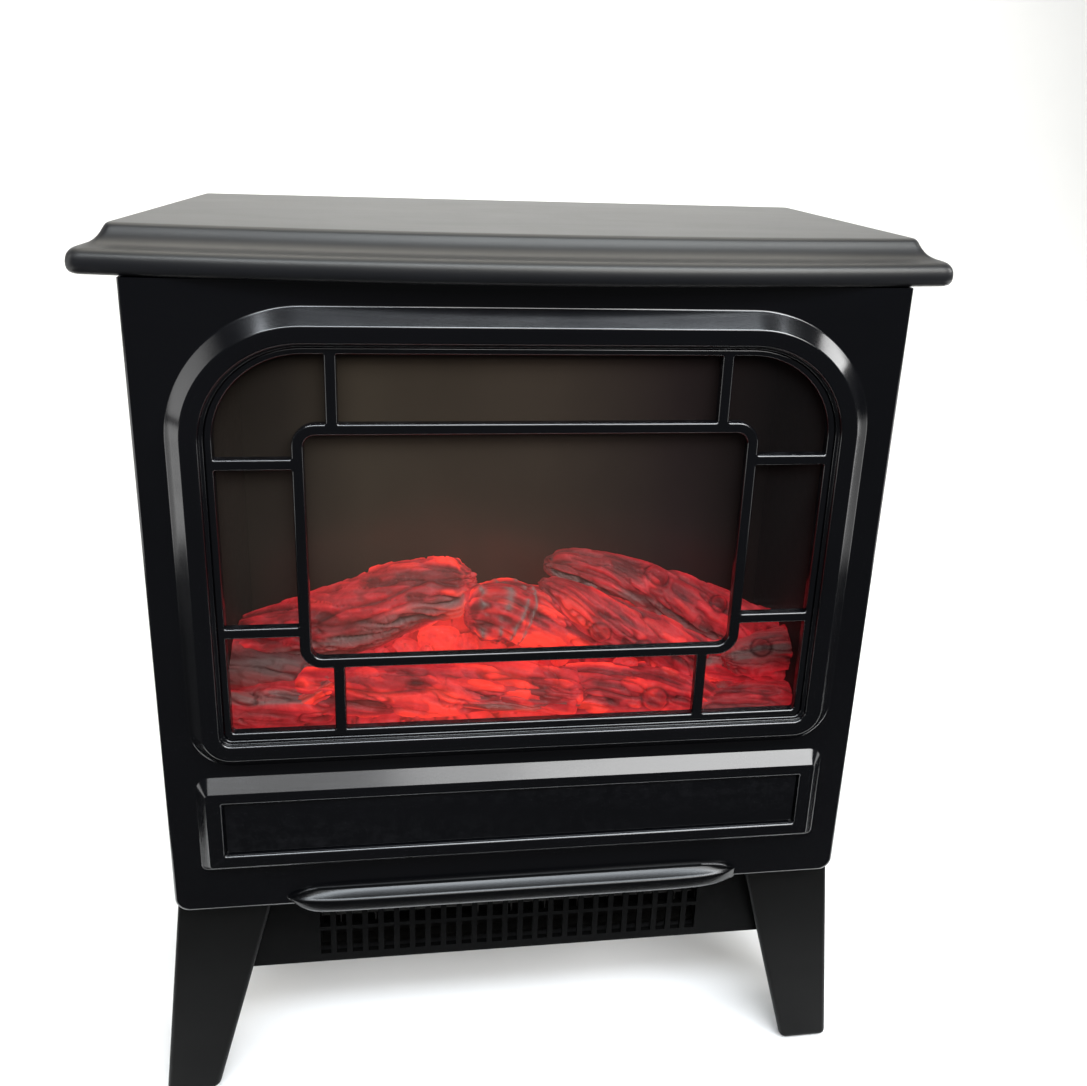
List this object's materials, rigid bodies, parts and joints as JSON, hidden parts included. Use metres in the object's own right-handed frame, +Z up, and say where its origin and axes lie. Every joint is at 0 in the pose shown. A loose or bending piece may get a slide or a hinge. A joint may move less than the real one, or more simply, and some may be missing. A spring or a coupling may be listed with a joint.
{
  "type": "electric fireplace",
  "caption": "Compact freestanding stove-style electric heater with an arched lattice window, glowing logs, moulded mantel, splayed legs and a slotted warm-air outlet.",
  "frame": {"origin": "centre of the footprint, on the surface it stands on", "axes": "+X to the right seen from the front, +Y to the rear, +Z up"},
  "size_m": [0.406, 0.2015, 0.495],
  "materials": {
    "black_moulding": "semi-gloss black moulding",
    "black_sheet": "satin black powder coat",
    "grille_plastic": "fine-textured black",
    "smoked_glass": "smoked, polished",
    "log_resin": "translucent moulded resin with charcoal shading",
    "diffuser": "smoked satin sheet",
    "bright_steel": "zinc plated",
    "aluminium_foil": "bright rolled",
    "circuit_board": "green solder mask",
    "nylon": "natural nylon",
    "rubber": "moulded black",
    "motor_black": "satin enamel",
    "ceramic": "unglazed",
    "control_plastic": "satin black"
  },
  "bodies": {
    "cabinet": {"top_cover": "black_moulding", "front_panel": "black_moulding", "lower_insert_plate": "black_moulding", "window_lattice": "black_moulding", "window_glass": "smoked_glass", "left_side_panel": "black_sheet", "right_side_panel": "black_sheet", "rear_cover": "black_sheet", "rear_screw_lower_left": "bright_steel", "rear_screw_lower_right": "bright_steel", "rear_screw_upper_left": "bright_steel", "rear_screw_upper_right": "bright_steel", "base_plate": "black_sheet", "leg_front_left": "black_moulding", "foot_pad_front_left": "rubber", "leg_screw_front_left": "bright_steel", "leg_rear_left": "black_moulding", "foot_pad_rear_left": "rubber", "leg_screw_rear_left": "bright_steel", "leg_front_right": "black_moulding", "foot_pad_front_right": "rubber", "leg_screw_front_right": "bright_steel", "leg_rear_right": "black_moulding", "foot_pad_rear_right": "rubber", "leg_screw_rear_right": "bright_steel", "outlet_grille": "grille_plastic", "duct_pan": "black_sheet", "duct_back": "black_sheet", "heater_frame": "ceramic", "heater_element": "aluminium_foil", "thermal_cutout": "bright_steel", "fan_scroll": "bright_steel", "fan_end_bush": "nylon", "fan_motor": "motor_black", "firebox_liner": "black_sheet", "firebox_floor": "black_sheet", "firebox_back": "aluminium_foil", "flame_screen": "diffuser", "ember_led_board": "circuit_board", "flame_led_board": "circuit_board", "log_set": "log_resin", "rotor_motor": "bright_steel", "rotor_end_bush": "nylon", "flame_switch_body": "control_plastic", "low_heat_switch_body": "control_plastic", "high_heat_switch_body": "control_plastic", "thermostat_body": "nylon", "cord_inlet_bush": "rubber", "control_board": "circuit_board", "terminal_block": "nylon"},
    "fan_rotor": {"fan_impeller": "nylon", "fan_shaft": "bright_steel"},
    "flame_rotor": {"flame_rotor_shaft": "bright_steel", "rotor_reflectors": "aluminium_foil"},
    "flame_switch": {"flame_rocker": "control_plastic"},
    "low_heat_switch": {"low_heat_rocker": "control_plastic"},
    "high_heat_switch": {"high_heat_rocker": "control_plastic"},
    "thermostat_control": {"thermostat_knob": "control_plastic", "thermostat_spindle": "bright_steel"}
  },
  "joints": [
    {"name": "fan_spin", "type": "hinge", "parent": "cabinet", "child": "fan_rotor", "pos_m": [0, -0.015, 0.106], "axis": [1, 0, 0], "continuous": true},
    {"name": "flame_rotor_spin", "type": "hinge", "parent": "cabinet", "child": "flame_rotor", "pos_m": [0, 0.02, 0.254], "axis": [1, 0, 0], "continuous": true},
    {"name": "flame_rocker_tilt", "type": "hinge", "parent": "cabinet", "child": "flame_switch", "pos_m": [-0.07, 0.0875, 0.43], "axis": [1, 0, 0], "range_deg": [0, 20]},
    {"name": "low_heat_rocker_tilt", "type": "hinge", "parent": "cabinet", "child": "low_heat_switch", "pos_m": [-0.1, 0.0875, 0.43], "axis": [1, 0, 0], "range_deg": [0, 20]},
    {"name": "high_heat_rocker_tilt", "type": "hinge", "parent": "cabinet", "child": "high_heat_switch", "pos_m": [-0.13, 0.0875, 0.43], "axis": [1, 0, 0], "range_deg": [0, 20]},
    {"name": "thermostat_turn", "type": "hinge", "parent": "cabinet", "child": "thermostat_control", "pos_m": [-0.028, 0.092, 0.43], "axis": [0, 1, 0], "range_deg": [0, 270]}
  ]
}
